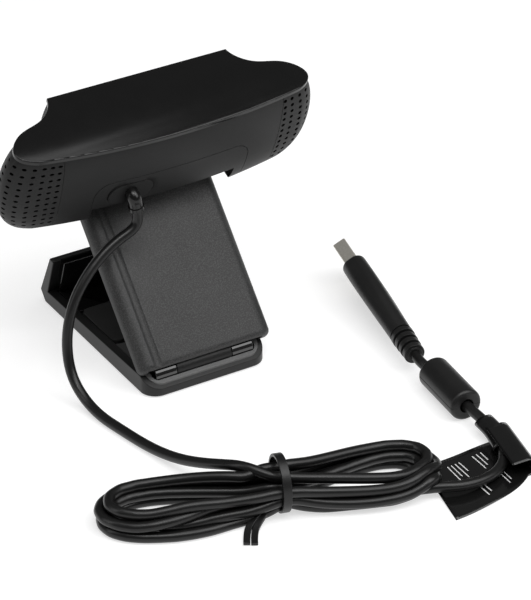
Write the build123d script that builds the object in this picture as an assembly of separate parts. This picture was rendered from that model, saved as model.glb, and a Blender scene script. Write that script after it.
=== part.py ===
from build123d import *
import math
import os

# A webcam on a folding clip stand, in millimetres.
# X runs sideways, the lens looks towards -Y, +Z is up.
# The origin is on the table, under the middle of the stand's base.

# Stand base
base_width = 43.8
base_length = 72.0
base_height = 6.6
base_clear = 0.5
base_corner = 5.5
wall = 1.6
rim_width = 3.0
lip_top = 18.2
lip_lean = 7.0
lip_thick = 2.7

# Fold hinge between base and arm
fold_y = 29.9
fold_z = 5.4
fold_radius = 3.6
fold_centre_half = 9.8
fold_side_end = 17.6
pin_radius = 1.2
running_gap = 0.05
side_gap = 0.25
swing_radius = 5.8
swing_half = 20.7

# Arm
arm_angle = 47.1
arm_half_left = 22.9
arm_half_right = 24.7
arm_edge_left = 3.6
groove_x = 17.2
arm_edge_right = 4.6
arm_top = 7.1
arm_under = 2.1
arm_length = 60.0
arm_wall = 1.4

# Head
head_pitch = 21.0
head_y = 17.0
head_z = 81.5
head_height = 32.4
head_wall = 1.6
cover_thick = 1.5
shell_split = -10.0
grille_seam_left = 37.4
grille_seam_right = 40.4
nose_y = -25.6
saddle_left = 26.0
saddle_right = 29.5
saddle_top = -15.0
recess_half = 25.5
recess_raise = 6.2

seam = 0.12
saddle_proud = 1.5

# Front window and main board, in the head's own frame
window_wide = 51.6
window_tall = 17.0
board_face = nose_y + 13.4
board_back = nose_y + 14.7
post_length = 12.6
board_posts = [(-29.5, -6.0), (-29.5, -16.4), (29.5, -6.0), (29.5, -16.4)]

# Strain relief panel, and the boot that comes straight out, turns down and ends where the cable begins
relief_x = 13.2
relief_z = -21.2
relief_width = 16.0
relief_tall = 8.0
boot_radius = 2.2
boot_root = Vector(relief_x, -1.0, relief_z)
boot_elbow = Vector(relief_x, 4.4, relief_z)
boot_end = Vector(relief_x - 0.9, 5.8, relief_z - 4.4)

# Tilt hinge between arm and head, in the head's own frame
tilt_y = -15.5
tilt_z = -26.3
tilt_radius = 5.2
tilt_arm_half = 18.0
tilt_pin_radius = 2.0

# Lens
lens_z = -11.5
lens_ring_radius = 8.5
barrel_radius = 6.0

# Cable
cable_diameter = 3.4
cable_radius = cable_diameter / 2
floor_line = cable_radius + 0.05


def in_head(shape):
    return Pos(0, head_y, head_z) * Rot(-head_pitch, 0, 0) * shape


def in_arm(shape):
    return Pos(0, fold_y, fold_z) * Rot(-arm_angle, 0, 0) * shape


def block(x0, x1, y0, y1, z0, z1):
    middle = Pos((x0 + x1) / 2, (y0 + y1) / 2, (z0 + z1) / 2)
    return middle * Box(x1 - x0, y1 - y0, z1 - z0)


def rod(radius, x0, x1, y=0.0, z=0.0):
    return Pos((x0 + x1) / 2, y, z) * Rot(0, 90, 0) * Cylinder(radius, x1 - x0)


def tube_x(outer, inner, x0, x1, y=0.0, z=0.0):
    return rod(outer, x0, x1, y, z) - rod(inner, x0 - 1, x1 + 1, y, z)


def barrel(radius, depth, x, y, z):
    """A round piece along Y, from y forwards by depth."""
    return Pos(x, y - depth / 2, z) * Rot(90, 0, 0) * Cylinder(radius, depth)


def from_side(points, half):
    """Extrude a side profile of (y, z) points across the width."""
    outline = make_face(Plane.YZ * Polyline(*points, close=True))
    return extrude(outline, amount=half, both=True)


# ---------------------------------------------------------------- head shape

def head_section(height, side, rear, nose):
    """The head's plan outline at one height: round ends, a straight nose and a wave between."""
    end_x = 46.0 + side
    end_y = -2.6 + rear
    arch = ThreePointArc((-end_x, end_y), (0, 1.25 + rear), (end_x, end_y))
    front = nose_y - nose
    flank = [
        (end_x, end_y),
        (51.7 + side, -8.9),
        (46.6 + side, -14.9 - nose),
        (38.2 + side / 2, -17.9 - nose),
        (34.0 + nose, -21.2 - nose),
        (31.8 + nose, front),
    ]
    right = Spline(*flank)
    left = Spline(*[(-x, y) for x, y in reversed(flank)])
    tip = Line(flank[-1], (-flank[-1][0], front))
    outline = Wire([arch, right, tip, left])
    return Plane.XY.offset(height) * make_face(outline)


def head_form(inset):
    """The barrel-shaped body of the head, shrunk evenly by inset."""
    stations = [
        (-cover_thick, -0.4, -0.7, -0.5),
        (-8.0, 2.3, 0.5, 0.2),
        (-16.0, 3.2, 1.0, 0.4),
        (-23.5, 2.4, 1.0, 0.2),
        (-head_height, -2.6, -0.6, -1.2),
    ]
    sections = [head_section(h, s - inset, r - inset, n - inset) for h, s, r, n in stations]
    return loft(sections)


def head_skin():
    core = head_form(head_wall)
    core &= block(-80, 80, -40, 20, -head_height + head_wall, -cover_thick)
    return head_form(0.0) - core


def saddle_shape(clearance):
    """The rounded panel low on the rear wall, over the tilt hinge."""
    low = -head_height - 2
    x0 = -saddle_right + clearance
    x1 = saddle_left - clearance
    z1 = saddle_top - clearance
    width = x1 - x0
    panel = Pos((x0 + x1) / 2, 0, (low + z1) / 2) * Box(width, 6, z1 - low)
    corners = panel.edges().filter_by(Axis.Y).group_by(Axis.Z)[-1]
    return fillet(corners, 6.0)


def recess_shape():
    """The mouth under the head that the arm's knuckle turns in."""
    mouth = block(-recess_half, recess_half, -21.4, -2.0, -head_height - 3, -19.5)
    sill = block(-recess_half, recess_half, -30.0, 6.0, -head_height - 3, -head_height + recess_raise)
    return mouth + sill


def make_top_cover():
    plate = extrude(head_section(-cover_thick, 0.0, 0.0, 0.0), amount=cover_thick)
    rim = plate.edges().group_by(Axis.Z)[-1]
    return in_head(fillet(rim, 0.45))


def make_head_shells():
    skin = head_skin()
    behind = skin & block(-80, 80, shell_split, 10, -40, 0)
    ahead = skin & block(-80, 80, -40, shell_split, -40, 0)
    behind -= recess_shape()
    ahead -= recess_shape()
    shells = {}
    left = behind & block(grille_seam_left + seam, 80, -40, 10, -40, 0)
    right = behind & block(-80, -grille_seam_right - seam, -40, 10, -40, 0)
    middle = behind & block(-grille_seam_right, grille_seam_left, -40, 10, -40, 0)
    saddle = middle & (Pos(0, saddle_proud, 0) * saddle_shape(seam))
    middle -= Pos(0, saddle_proud, 0) * saddle_shape(0.0)
    saddle -= Pos(relief_x, saddle_proud, relief_z) * relief_outline(0.0, 1.4)
    saddle -= barrel(boot_radius + 0.1, 12, relief_x, 6, relief_z)
    shells["grille_left"] = in_head(left)
    shells["grille_right"] = in_head(right)
    shells["rear_shell"] = in_head(middle)
    shells["hinge_cover"] = in_head(saddle)
    opening = extrude(RectangleRounded(window_wide + 0.4, window_tall + 0.4, 6), 6, both=True)
    ahead -= Pos(0, nose_y, lens_z) * Rot(90, 0, 0) * opening
    for x, z in board_posts:
        ahead += barrel(1.8, post_length, x, board_face, z)
        ahead -= barrel(0.75, 8.0, x, board_face + 0.1, z)
    shells["front_bezel"] = in_head(ahead)
    return shells


def relief_outline(clearance, depth):
    slot = SlotOverall(relief_width - 2 * clearance, relief_tall - 2 * clearance)
    return Pos(0, 0.9, 0) * Rot(90, 0, 0) * extrude(slot, depth)


def make_strain_relief_plate():
    plate = Pos(relief_x, 1.3, relief_z) * relief_outline(0.1, 1.1)
    return in_head(plate - barrel(boot_radius + 0.1, 12, relief_x, 6, relief_z))


def make_cable_boot():
    path = FilletPolyline(boot_root, boot_elbow, boot_end, radius=2.2)
    body = sweep(Plane(origin=boot_root, z_dir=(boot_elbow - boot_root)) * Circle(boot_radius), path=path)
    collar = Plane(origin=boot_end, z_dir=(boot_elbow - boot_end)) * standing(boot_radius + 0.3, 1.2)
    return in_head(body + collar)


def make_hinge_housing():
    """The trough over the arm's knuckle, with the head's two ears."""
    roof = block(-recess_half - 0.1, recess_half + 0.1, -22.6, -3.0, -20.6, -19.4)
    front = block(-recess_half - 0.1, recess_half + 0.1, -22.6, -21.5, -27.0, -20.6)
    back = block(-recess_half - 0.1, recess_half + 0.1, -4.2, -3.0, -25.0, -20.6)
    housing = roof + front + back
    start = tilt_arm_half + side_gap
    for side in (-1, 1):
        x0, x1 = sorted((side * start, side * recess_half))
        ear = rod(tilt_radius, x0, x1, tilt_y, tilt_z)
        ear += block(x0, x1, tilt_y - tilt_radius, tilt_y + tilt_radius, tilt_z, -20.6)
        housing += ear
    housing -= rod(tilt_pin_radius, -40, 40, tilt_y, tilt_z)
    return in_head(housing)


def make_tilt_pin():
    return in_head(rod(tilt_pin_radius, -recess_half + 0.2, recess_half - 0.2, tilt_y, tilt_z))


def make_front():
    pieces = {}
    face = nose_y + 0.2
    panel = extrude(RectangleRounded(window_wide, window_tall, 5.8), 1.2)
    panel = Pos(0, face + 1.2, lens_z) * Rot(90, 0, 0) * panel
    panel -= barrel(7.0, 12, 0, nose_y + 5, lens_z)
    panel -= barrel(0.9, 12, 15.0, nose_y + 5, lens_z)
    pieces["front_window"] = panel
    ring = barrel(lens_ring_radius, 1.6, 0, face, lens_z) - barrel(7.0, 12, 0, nose_y + 5, lens_z)
    pieces["lens_ring"] = fillet(ring.edges().group_by(Axis.Y)[0], 0.5)
    tube = barrel(barrel_radius, 9.0, 0, nose_y + 9.5, lens_z)
    tube -= barrel(4.6, 1.6, 0, nose_y + 2.1, lens_z)
    tube -= barrel(3.6, 9.4, 0, nose_y + 9.7, lens_z)
    pieces["lens_barrel"] = tube
    dome = Pos(0, nose_y + 6.3, lens_z) * Sphere(7.4)
    glass = barrel(4.5, 3.0, 0, nose_y + 2.1, lens_z) & dome
    pieces["lens_front_glass"] = glass
    pieces["lens_rear_glass"] = barrel(3.5, 1.6, 0, nose_y + 8.4, lens_z)
    holder = block(-7.5, 7.5, nose_y + 6.0, board_face, lens_z - 6.9, lens_z + 7.5)
    holder -= barrel(barrel_radius + 0.05, 8, 0, nose_y + 9.6, lens_z)
    holder -= block(-5.0, 5.0, nose_y + 9.6, nose_y + 14, lens_z - 4.5, lens_z + 4.5)
    pieces["lens_holder"] = holder
    pieces["image_sensor"] = block(-4.0, 4.0, nose_y + 12.0, board_face, lens_z - 3.2, lens_z + 3.2)
    board = block(-33, 33, board_face + 0.1, board_back, -19.0, -3.4)
    for x, z in board_posts:
        board -= barrel(0.8, 4.0, x, board_back + 1, z)
    pieces["main_board"] = board
    pieces["board_connector"] = block(8.5, 16.5, nose_y + 14.8, nose_y + 19.0, -17.5, -13.0)
    pieces["led_light_pipe"] = barrel(0.85, 11.0, 15.0, nose_y + 12.6, lens_z)
    for side, name in ((1, "microphone_left"), (-1, "microphone_right")):
        board = block(42.0, 43.0, -11.4, -4.4, -19.0, -9.0)
        can = Pos(44.25, -7.9, -14.0) * Rot(0, 90, 0) * Cylinder(2.9, 2.6)
        mic = board + can
        pieces[name] = mic if side == 1 else mirror(mic, Plane.YZ)
    return {name: in_head(shape) for name, shape in pieces.items()}


def make_board_screws():
    """Four small screws that hold the main board to posts in the bezel."""
    group = []
    for x, z in board_posts:
        shank = barrel(0.7, 5.0, x, board_back, z)
        cap = barrel(1.5, 1.0, x, board_back + 1.0, z)
        group.append(in_head(shank + cap))
    return Compound(children=group)


# ----------------------------------------------------------------------- arm

def make_arm_cover():
    """A channel-shaped cover: a groove and a ridge along its left edge, a rounded right edge."""
    slab = block(-arm_half_right, arm_half_left, -arm_length, 0, arm_under, arm_top)
    long_edges = slab.edges().filter_by(Axis.Y).group_by(Axis.Z)[-1].sort_by(Axis.X)
    slab = fillet(long_edges[0], arm_edge_right)
    long_edges = slab.edges().filter_by(Axis.Y).group_by(Axis.Z)[-1].sort_by(Axis.X)
    slab = fillet(long_edges[-1], arm_edge_left)
    left_corner = slab.edges().filter_by(Axis.Z).group_by(Axis.Y)[-1].sort_by(Axis.X)[-1]
    slab = fillet(left_corner, 2.2)
    groove = Rot(90, 0, 0) * Cylinder(2.1, arm_length + 10)
    slab -= Pos(groove_x, -arm_length / 2, arm_top + 1.5) * groove
    inside = arm_half_left - arm_wall
    ceiling = arm_top - arm_wall - 0.6
    hollow = block(-inside - 0.8, inside, -arm_length - 1, -arm_wall, arm_under - 1, ceiling)
    swing = rod(swing_radius, -swing_half, swing_half)
    return in_arm(slab - hollow - swing)


def make_arm_frame():
    half = arm_half_left - arm_wall - 0.1
    plate = block(-half, half, -arm_length + 0.4, -6.5, arm_under + 0.1, arm_top - arm_wall - 0.7)
    knuckle = rod(fold_radius, -fold_centre_half, fold_centre_half)
    web = block(-fold_centre_half, fold_centre_half, -8.0, -arm_wall - 0.1, 0.4, arm_top - arm_wall - 0.7)
    low = plate + knuckle + web
    low -= rod(pin_radius + running_gap, -30, 30)
    head_axis_y, head_axis_z = tilt_in_arm()
    neck = [
        (-arm_length + 6.0, arm_under + 0.1),
        (-arm_length + 6.0, arm_top - arm_wall - 0.7),
        (-arm_length - 0.2, arm_top - arm_wall - 0.7),
        (-arm_length - 0.2, arm_top + 1.0),
        (head_axis_y + 3.5, head_axis_z + 3.4),
        (head_axis_y, head_axis_z),
        (head_axis_y - 2.6, head_axis_z - 4.45),
        (-arm_length - 0.4, arm_under + 0.1),
    ]
    low += from_side(neck, tilt_arm_half)
    low += rod(tilt_radius, -tilt_arm_half, tilt_arm_half, head_axis_y, head_axis_z)
    low -= rod(tilt_pin_radius + running_gap, -40, 40, head_axis_y, head_axis_z)
    return in_arm(low)


def tilt_in_row():
    """The tilt axis in the row's frame."""
    point = in_head(Pos(0, tilt_y, tilt_z) * Box(1, 1, 1)).center()
    return point.Y, point.Z


def tilt_in_arm():
    y, z = tilt_in_row()
    dy = y - fold_y
    dz = z - fold_z
    turn = math.radians(arm_angle)
    return dy * math.cos(turn) - dz * math.sin(turn), dy * math.sin(turn) + dz * math.cos(turn)


def make_fold_pin():
    return in_arm(rod(pin_radius, -fold_side_end + 0.2, fold_side_end - 0.2))


def make_friction_washers():
    y, z = tilt_in_arm()
    group = []
    for side in (-1, 1):
        x0, x1 = sorted((side * (tilt_arm_half + 0.03), side * (tilt_arm_half + side_gap - 0.03)))
        group.append(in_arm(tube_x(4.4, tilt_pin_radius + running_gap, x0, x1, y, z)))
    return Compound(children=group)


def make_arm_screws():
    group = []
    for x in (-15.0, 15.0):
        for y in (-15.0, -45.0):
            cap = Pos(x, y, arm_under - 0.5) * Cylinder(2.0, 1.1)
            group.append(in_arm(cap))
    return Compound(children=group)


# ---------------------------------------------------------------------- base

base_rear = base_length / 2
base_front = -base_length / 2


def base_profile(rise):
    """Side profile: a low sloped rear, a level bed and a lip that leans back over it."""
    return [
        (base_rear, base_clear),
        (base_rear, 3.2 + rise),
        (base_rear - 5.5, base_height + rise),
        (base_front + 5.0, base_height - 1.4 + rise),
        (base_front + lip_lean + lip_thick, lip_top + 0.4),
        (base_front + lip_lean + 0.3, lip_top + 0.9),
        (base_front, base_clear + 3.4),
        (base_front + 3.0, base_clear),
    ]


def make_base_shell():
    half = base_width / 2
    body = from_side(base_profile(0.0), half)
    rear_corners = body.edges().filter_by(Axis.Z).group_by(Axis.Y)[-1]
    body = fillet(rear_corners, base_corner)
    bed_half = half - rim_width
    body -= block(-bed_half, bed_half, base_front + 4.0, base_rear - 12.0, 4.0, 20) - lip_keep()
    pocket = block(-18.6, 18.6, base_rear - 11.4, base_rear - 2.2, 1.4, 20)
    pocket_corners = pocket.edges().filter_by(Axis.Z).group_by(Axis.Y)[-1]
    body -= fillet(pocket_corners, 2.0)
    body -= block(-half + wall, half - wall, base_front + 6.5, base_rear - 13.0, base_clear - 1, 2.8)
    body -= foot_socket()
    return body


def lip_keep():
    """The lip itself, which the bed's recess doesn't cut."""
    return from_side([
        (base_front + 5.0, base_height - 3.0),
        (base_front + lip_lean + lip_thick, lip_top + 3),
        (base_front - 3, lip_top + 3),
        (base_front - 3, base_height - 3.0),
    ], base_width)


socket_y = -6.0
thread_radius = 2.6
thread_depth = 3.9
insert_outer = 5.2
insert_top = 4.9


def foot_socket():
    return Pos(0, socket_y, 0) * Cylinder(insert_outer, 3 * base_height)


def make_tripod_insert():
    """A brass quarter-inch insert, open downwards and closed under the pad."""
    body = standing(insert_outer - 0.02, insert_top - base_clear) - standing(thread_radius, thread_depth)
    return Pos(0, socket_y, base_clear) * body


def make_base_cover():
    half = base_width / 2 - wall - 0.1
    plate = block(-half, half, base_front + 6.6, base_rear - 13.1, base_clear, base_clear + 0.9)
    plate -= Pos(0, socket_y, 0) * Cylinder(insert_outer, 6)
    for x in (-15.0, 15.0):
        plate -= Pos(x, socket_y, 0) * Cylinder(1.8, 6)
    return plate


def make_base_weight():
    half = base_width / 2 - wall - 0.3
    plate = block(-half, half, base_front + 6.8, base_rear - 13.3, base_clear + 0.95, 2.75)
    return plate - Pos(0, socket_y, 0) * Cylinder(insert_outer + 0.1, 8)


def make_base_pad():
    bed_half = base_width / 2 - rim_width - 0.5
    pad = block(-bed_half, bed_half, base_front + 20.8, base_rear - 28.6, 4.0, 5.6)
    pad = fillet(pad.edges().filter_by(Axis.Z), 3.0)
    pad = fillet(pad.edges().group_by(Axis.Z)[-1], 0.4)
    return pad - Pos(0, socket_y, 0) * Cylinder(insert_outer + 0.1, 2 * insert_top + 0.1)


def make_lip_liner():
    """The glossy liner in front of the pad and up the inside of the lip."""
    bed_half = base_width / 2 - rim_width - 0.5
    step = 0.9
    outline = [
        (base_front + 20.6, 4.0),
        (base_front + 20.6, 4.0 + step),
        (base_front + 6.6, 4.0 + step),
        (base_front + lip_lean + lip_thick + 1.1, lip_top - 0.6),
        (base_front + lip_lean + lip_thick + 0.15, lip_top - 0.6),
        (base_front + 5.3, 4.0),
    ]
    liner = from_side(outline, bed_half)
    return liner - lip_keep()


def make_hinge_bed():
    """The glossy floor between the hinge pocket and the pad."""
    bed_half = base_width / 2 - rim_width - 0.5
    return block(-bed_half, bed_half, base_rear - 28.4, base_rear - 12.2, 4.0, 4.8)


def make_hinge_knuckles():
    """The base's two short knuckles, one each side of the arm's long one."""
    group = []
    start = fold_centre_half + side_gap
    for side in (-1, 1):
        x0, x1 = sorted((side * start, side * fold_side_end))
        ear = rod(fold_radius, x0, x1, fold_y, fold_z)
        ear += block(x0, x1, fold_y - 2.6, fold_y + 2.6, 1.4, fold_z)
        ear -= rod(pin_radius, x0 - 1, x1 + 1, fold_y, fold_z)
        group.append(ear)
    return Compound(children=group)


def make_hinge_bead():
    """The smooth raised bead round three sides of the hinge pocket."""
    outer = block(-20.2, 20.2, base_rear - 9.0, base_rear - 1.0, 1.4, 9)
    outer = fillet(outer.edges().filter_by(Axis.Z).group_by(Axis.Y)[-1], 4.4)
    inner = block(-18.6, 18.6, base_rear - 12.0, base_rear - 2.2, 0, 12)
    inner = fillet(inner.edges().filter_by(Axis.Z).group_by(Axis.Y)[-1], 2.0)
    low = from_side(base_profile(0.0), 30)
    high = from_side(base_profile(0.7), 30)
    return (outer - inner) & (high - low)


def standing(radius, height):
    return Cylinder(radius, height, align=(Align.CENTER, Align.CENTER, Align.MIN))


def make_rubber_feet():
    group = []
    for x in (-14.0, 14.0):
        for y in (base_front + 11.0, base_rear - 19.0):
            group.append(Pos(x, y, 0) * standing(3.4, base_clear))
    group.append(block(-17.5, 17.5, base_rear - 9.5, base_rear - 4.5, 0, base_clear))
    group.append(block(-17.5, 17.5, base_front + 3.6, base_front + 6.2, 0, base_clear))
    return Compound(children=group)


def make_base_screws():
    group = []
    for x in (-15.0, 15.0):
        group.append(Pos(x, socket_y, base_clear) * standing(1.7, 0.85))
    return Compound(children=group)


# --------------------------------------------------------------------- cable

# From the boot the cable bends sharply sideways, falls past the arm and lies on the table.
# The first run carries straight on from the boot's end.
first_run = 4.2
head_stretch_route = [
    (13.6, 13.3, 48.5),
    (18.9, 13.0, 46.3),
    (25.2, 13.5, 42.8),
]
lead_route = [
    (31.6, 14.9, 37.8),
    (36.9, 16.4, 31.6),
    (39.9, 17.3, 23.6),
    (41.3, 18.9, 15.2),
    (41.6, 22.6, 7.8),
    (40.9, 29.6, 3.3),
    (40.0, 38.2, floor_line),
    (38.2, 47.6, floor_line),
    (36.2, 57.6, floor_line),
    (34.2, 66.2, 2.4),
    (32.2, 74.6, 4.2),
    (30.0, 82.4, 6.8),
    (27.4, 90.0, 9.8),
    (24.4, 97.4, 12.6),
]
# From the hank the cable turns round the label and runs through the ferrite to the plug.
tail_route = [
    (-26.0, 126.2, 4.0),
    (-33.0, 128.4, 3.0),
    (-40.5, 129.0, 2.6),
    (-47.6, 127.2, 2.5),
    (-53.8, 122.2, 2.6),
    (-56.9, 114.6, 3.0),
    (-58.3, 106.6, 3.9),
    (-57.6, 100.8, 4.8),
    (-57.2, 95.6, 5.35),
    (-58.05, 85.2, 5.4),
    (-59.2, 75.2, 5.4),
    (-57.28, 69.6, 6.74),
    (-58.2, 65.2, 6.9),
]
arc_share = 0.45


def largest_radii(points):
    """The largest arc that fits at each corner, from the shorter of its two runs."""
    radii = []
    for before, corner, after in zip(points, points[1:], points[2:]):
        run_in = corner - before
        run_out = after - corner
        half_turn = math.radians(run_in.get_angle(run_out)) / 2
        radii.append(arc_share * min(run_in.length, run_out.length) / math.tan(half_turn))
    return radii


def cable_tube(name, points, radii):
    path = FilletPolyline(*points, radius=radii)
    tube = sweep(Plane(origin=points[0], z_dir=path % 0) * Circle(cable_radius), path=path)
    expected = math.pi * cable_radius ** 2 * path.length
    print(name, "length", round(path.length, 1), "volume share", round(tube.volume / expected, 4))
    print(name, "radii", [round(radius, 1) for radius in radii])
    return tube


def boot_end_in_row():
    start = in_head(Pos(*boot_end) * Box(0.2, 0.2, 0.2)).center()
    before = in_head(Pos(*boot_elbow) * Box(0.2, 0.2, 0.2)).center()
    return start, (start - before).normalized()


def make_cables():
    """The lead is cut in two in the middle of a run, past the part that a tilting head bends."""
    start, heading = boot_end_in_row()
    points = [start, start + heading * first_run]
    points += [Vector(*point) for point in head_stretch_route + lead_route]
    radii = largest_radii(points)
    cut = len(head_stretch_route) + 2
    middle = (points[cut - 1] + points[cut]) * 0.5
    tail = [Vector(*point) for point in tail_route]
    return {
        "cable_head_stretch": cable_tube("cable_head_stretch", points[:cut] + [middle], radii[:cut - 1]),
        "cable_lead": cable_tube("cable_lead", [middle] + points[cut:], radii[cut - 1:]),
        "cable_tail": cable_tube("cable_tail", tail, largest_radii(tail)),
    }


# Each station of the hank: centre x and y, width across, and its lowest and highest point.
hank_stations = [
    (71.6, 86.0, 15.0, 0.1, 5.6),
    (62.8, 88.8, 30.0, 0.05, 12.0),
    (45.4, 95.2, 27.5, 0.05, 15.0),
    (28.0, 102.8, 18.5, 0.4, 16.8),
    (17.0, 107.0, 15.0, 1.4, 17.4),
    (5.0, 109.0, 19.0, 0.6, 17.0),
    (-12.0, 112.0, 30.0, 0.05, 15.4),
    (-27.0, 114.5, 34.0, 0.05, 12.5),
    (-36.5, 116.0, 19.0, 0.1, 7.0),
]
tie_station = 4
tie_thick = 1.1
tie_wide = 2.8
tie_gap = 0.3
tie_ends_at = (31.4, 113.4, 1.0)
tie_ends_turn = 59.0
tie_ends_long = 14.0
tie_ends_wide = 4.6


def station_plane(index, low, high):
    x, y = hank_stations[index][:2]
    after = hank_stations[min(index + 1, len(hank_stations) - 1)]
    before = hank_stations[max(index - 1, 0)]
    along = Vector(after[0] - before[0], after[1] - before[1], 0)
    across = Vector(-along.Y, along.X, 0)
    return Plane(origin=(x, y, (low + high) / 2), x_dir=across, z_dir=along)


def make_hank():
    sections = []
    for index, (x, y, width, low, high) in enumerate(hank_stations):
        sections.append(station_plane(index, low, high) * Ellipse(width / 2, (high - low) / 2))
    return loft(sections, ruled=True)


def make_cable_tie():
    """A flat twist tie round the hank's waist, with its two ends on the table."""
    x, y, width, low, high = hank_stations[tie_station]
    seat = station_plane(tie_station, low, high)
    outer = Ellipse(width / 2 + tie_thick + tie_gap, (high - low) / 2 + tie_thick)
    inner = Ellipse(width / 2 + tie_gap, (high - low) / 2 + 0.05)
    ring = extrude(seat * (outer - inner), amount=tie_wide / 2, both=True)
    ends = Pos(*tie_ends_at) * Rot(0, 0, tie_ends_turn) * Box(tie_ends_long, tie_ends_wide, 1.6)
    return Compound(children=[ring, ends])


label_thick = 0.25
label_curl = 3.0
label_low = 0.06
label_fold_near = (-56.2, 131.0)
label_fold_far = (-60.6, 109.6)
label_end_near = (-46.5, 138.4)
label_end_far = (-42.0, 110.0)
label_tip_near = (-24.6, 139.2)
label_tip_far = (-30.0, 112.0)
label_flat = [label_tip_near, label_end_near, label_fold_near, label_fold_far, label_end_far, label_tip_far]


def make_label():
    """A flag label: flat on the table, and curled up along the edge beside the cable."""
    flat = extrude(make_face(Polyline(*label_flat, close=True)), amount=label_thick)
    flat = Pos(0, 0, label_low) * flat
    near = Vector(*label_fold_near, label_low + label_curl)
    far = Vector(*label_fold_far, label_low + label_curl)
    edge = Plane(origin=near, x_dir=(0, 0, 1), z_dir=far - near)
    ring = Circle(label_curl) - Circle(label_curl - label_thick)
    outside = Pos(0, label_curl) * Rectangle(4 * label_curl, 2 * label_curl)
    inside = Pos(0, -label_curl) * Rectangle(4 * label_curl, 2 * label_curl)
    halves = [extrude(edge * (ring & side), amount=(far - near).length) for side in (outside, inside)]
    curl = min(halves, key=lambda half: half.center().X)
    return flat + curl


def along_cable(start, end):
    """A frame at start whose Z runs towards end."""
    here = Vector(*start)
    return Plane(origin=here, x_dir=(0, 0, 1), z_dir=Vector(*end) - here)


ferrite_near = (-57.15, 96.0, 5.4)
ferrite_far = (-59.25, 73.6, 5.4)
ferrite_radius = 5.3
ferrite_bore = 2.3


def make_ferrite():
    frame = along_cable(ferrite_near, ferrite_far)
    length = (Vector(*ferrite_far) - Vector(*ferrite_near)).length
    whole = extrude(frame * Circle(ferrite_radius), amount=length)
    whole = fillet(whole.edges().filter_by(GeomType.CIRCLE), 1.3)
    wall_in = 1.0
    core_frame = frame * Pos(0, 0, wall_in)
    core_outer = extrude(Plane(core_frame) * Circle(ferrite_radius - wall_in), amount=length - 2 * wall_in)
    bore = extrude(frame * Pos(0, 0, -1) * Circle(ferrite_bore), amount=length + 2)
    jacket = whole - core_outer - bore
    core = extrude(Plane(core_frame) * Circle(ferrite_radius - wall_in - 0.05), amount=length - 2 * wall_in)
    core -= bore
    upper = jacket & block(-100, 0, 60, 110, ferrite_near[2] + 0.04, 20)
    lower = jacket & block(-100, 0, 60, 110, -5, ferrite_near[2] - 0.04)
    return {"ferrite_core": core, "ferrite_jacket_upper": upper, "ferrite_jacket_lower": lower}


# The plug lies rolled over on its side. Its frame starts where the cable enters, Z towards the tip.
plug_start = (-58.2, 65.2, 6.9)
plug_tip = (-71.0, 3.9, 9.15)
plug_roll = 60.0
relief_length = 11.8
overmold_length = 38.2
shell_length = 12.4
shell_wide = 12.0
shell_thick = 4.5
shell_wall = 0.35
tongue_thick = 1.7
tongue_offset = 0.95
relief_core = 2.5
rib_count = 4
rib_long = 2.0
rib_radius = 3.4
rib_growth = 0.14


def plug_frame():
    here = Vector(*plug_start)
    axis = Vector(*plug_tip) - here
    level = Vector(0, 0, 1).cross(axis)
    frame = Plane(origin=here, x_dir=level, z_dir=axis)
    return Location(frame) * Rot(0, 0, plug_roll)


def plug_section(place, wide, thick, corner):
    return Pos(0, 0, place) * RectangleRounded(wide, thick, corner)


def make_plug():
    frame = plug_frame()
    relief = standing(relief_core, relief_length)
    for index in range(rib_count):
        place = 0.6 + index * (relief_length - rib_long - 0.8) / (rib_count - 1)
        relief += Pos(0, 0, place) * standing(rib_radius + rib_growth * index, rib_long)
    shell_start = relief_length + overmold_length
    body = loft([
        plug_section(relief_length, 8.0, 7.4, 3.4),
        plug_section(relief_length + 8.0, 11.0, 7.6, 3.6),
        plug_section(relief_length + 18.0, 14.2, 8.0, 3.4),
        plug_section(shell_start, 15.6, 8.0, 3.2),
    ])
    body = fillet(body.edges().group_by(Axis.Z)[-1], 1.2)
    seat = Pos(0, 0, shell_start)
    shell = seat * extrude(RectangleRounded(shell_wide, shell_thick, 0.5), shell_length)
    hole = Rectangle(shell_wide - 2 * shell_wall, shell_thick - 2 * shell_wall)
    shell -= seat * Pos(0, 0, 0.6) * extrude(hole, shell_length)
    for side in (-1, 1):
        for x in (-2.6, 2.6):
            shell -= seat * Pos(x, side * shell_thick / 2, 6.6) * Box(2.4, 1.2, 2.2)
    tongue = Rectangle(shell_wide - 0.9, tongue_thick)
    tongue = seat * Pos(0, tongue_offset, 0.65) * extrude(tongue, shell_length - 1.6)
    under_tongue = tongue_offset - tongue_thick / 2 - 0.1
    contacts = []
    for x in (-3.5, -1.0, 1.0, 3.5):
        bar = extrude(Rectangle(1.0, 0.18), shell_length - 4.4)
        contacts.append(frame * seat * Pos(x, under_tongue, 2.4) * bar)
    return {
        "plug_relief": frame * relief,
        "plug_overmold": frame * body,
        "usb_shell": frame * shell,
        "usb_tongue": frame * tongue,
        "usb_contacts": Compound(children=contacts),
    }


def write(parts):
    os.makedirs("parts", exist_ok=True)
    for name, shape in parts.items():
        export_step(shape, f"parts/{name}.step")


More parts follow.
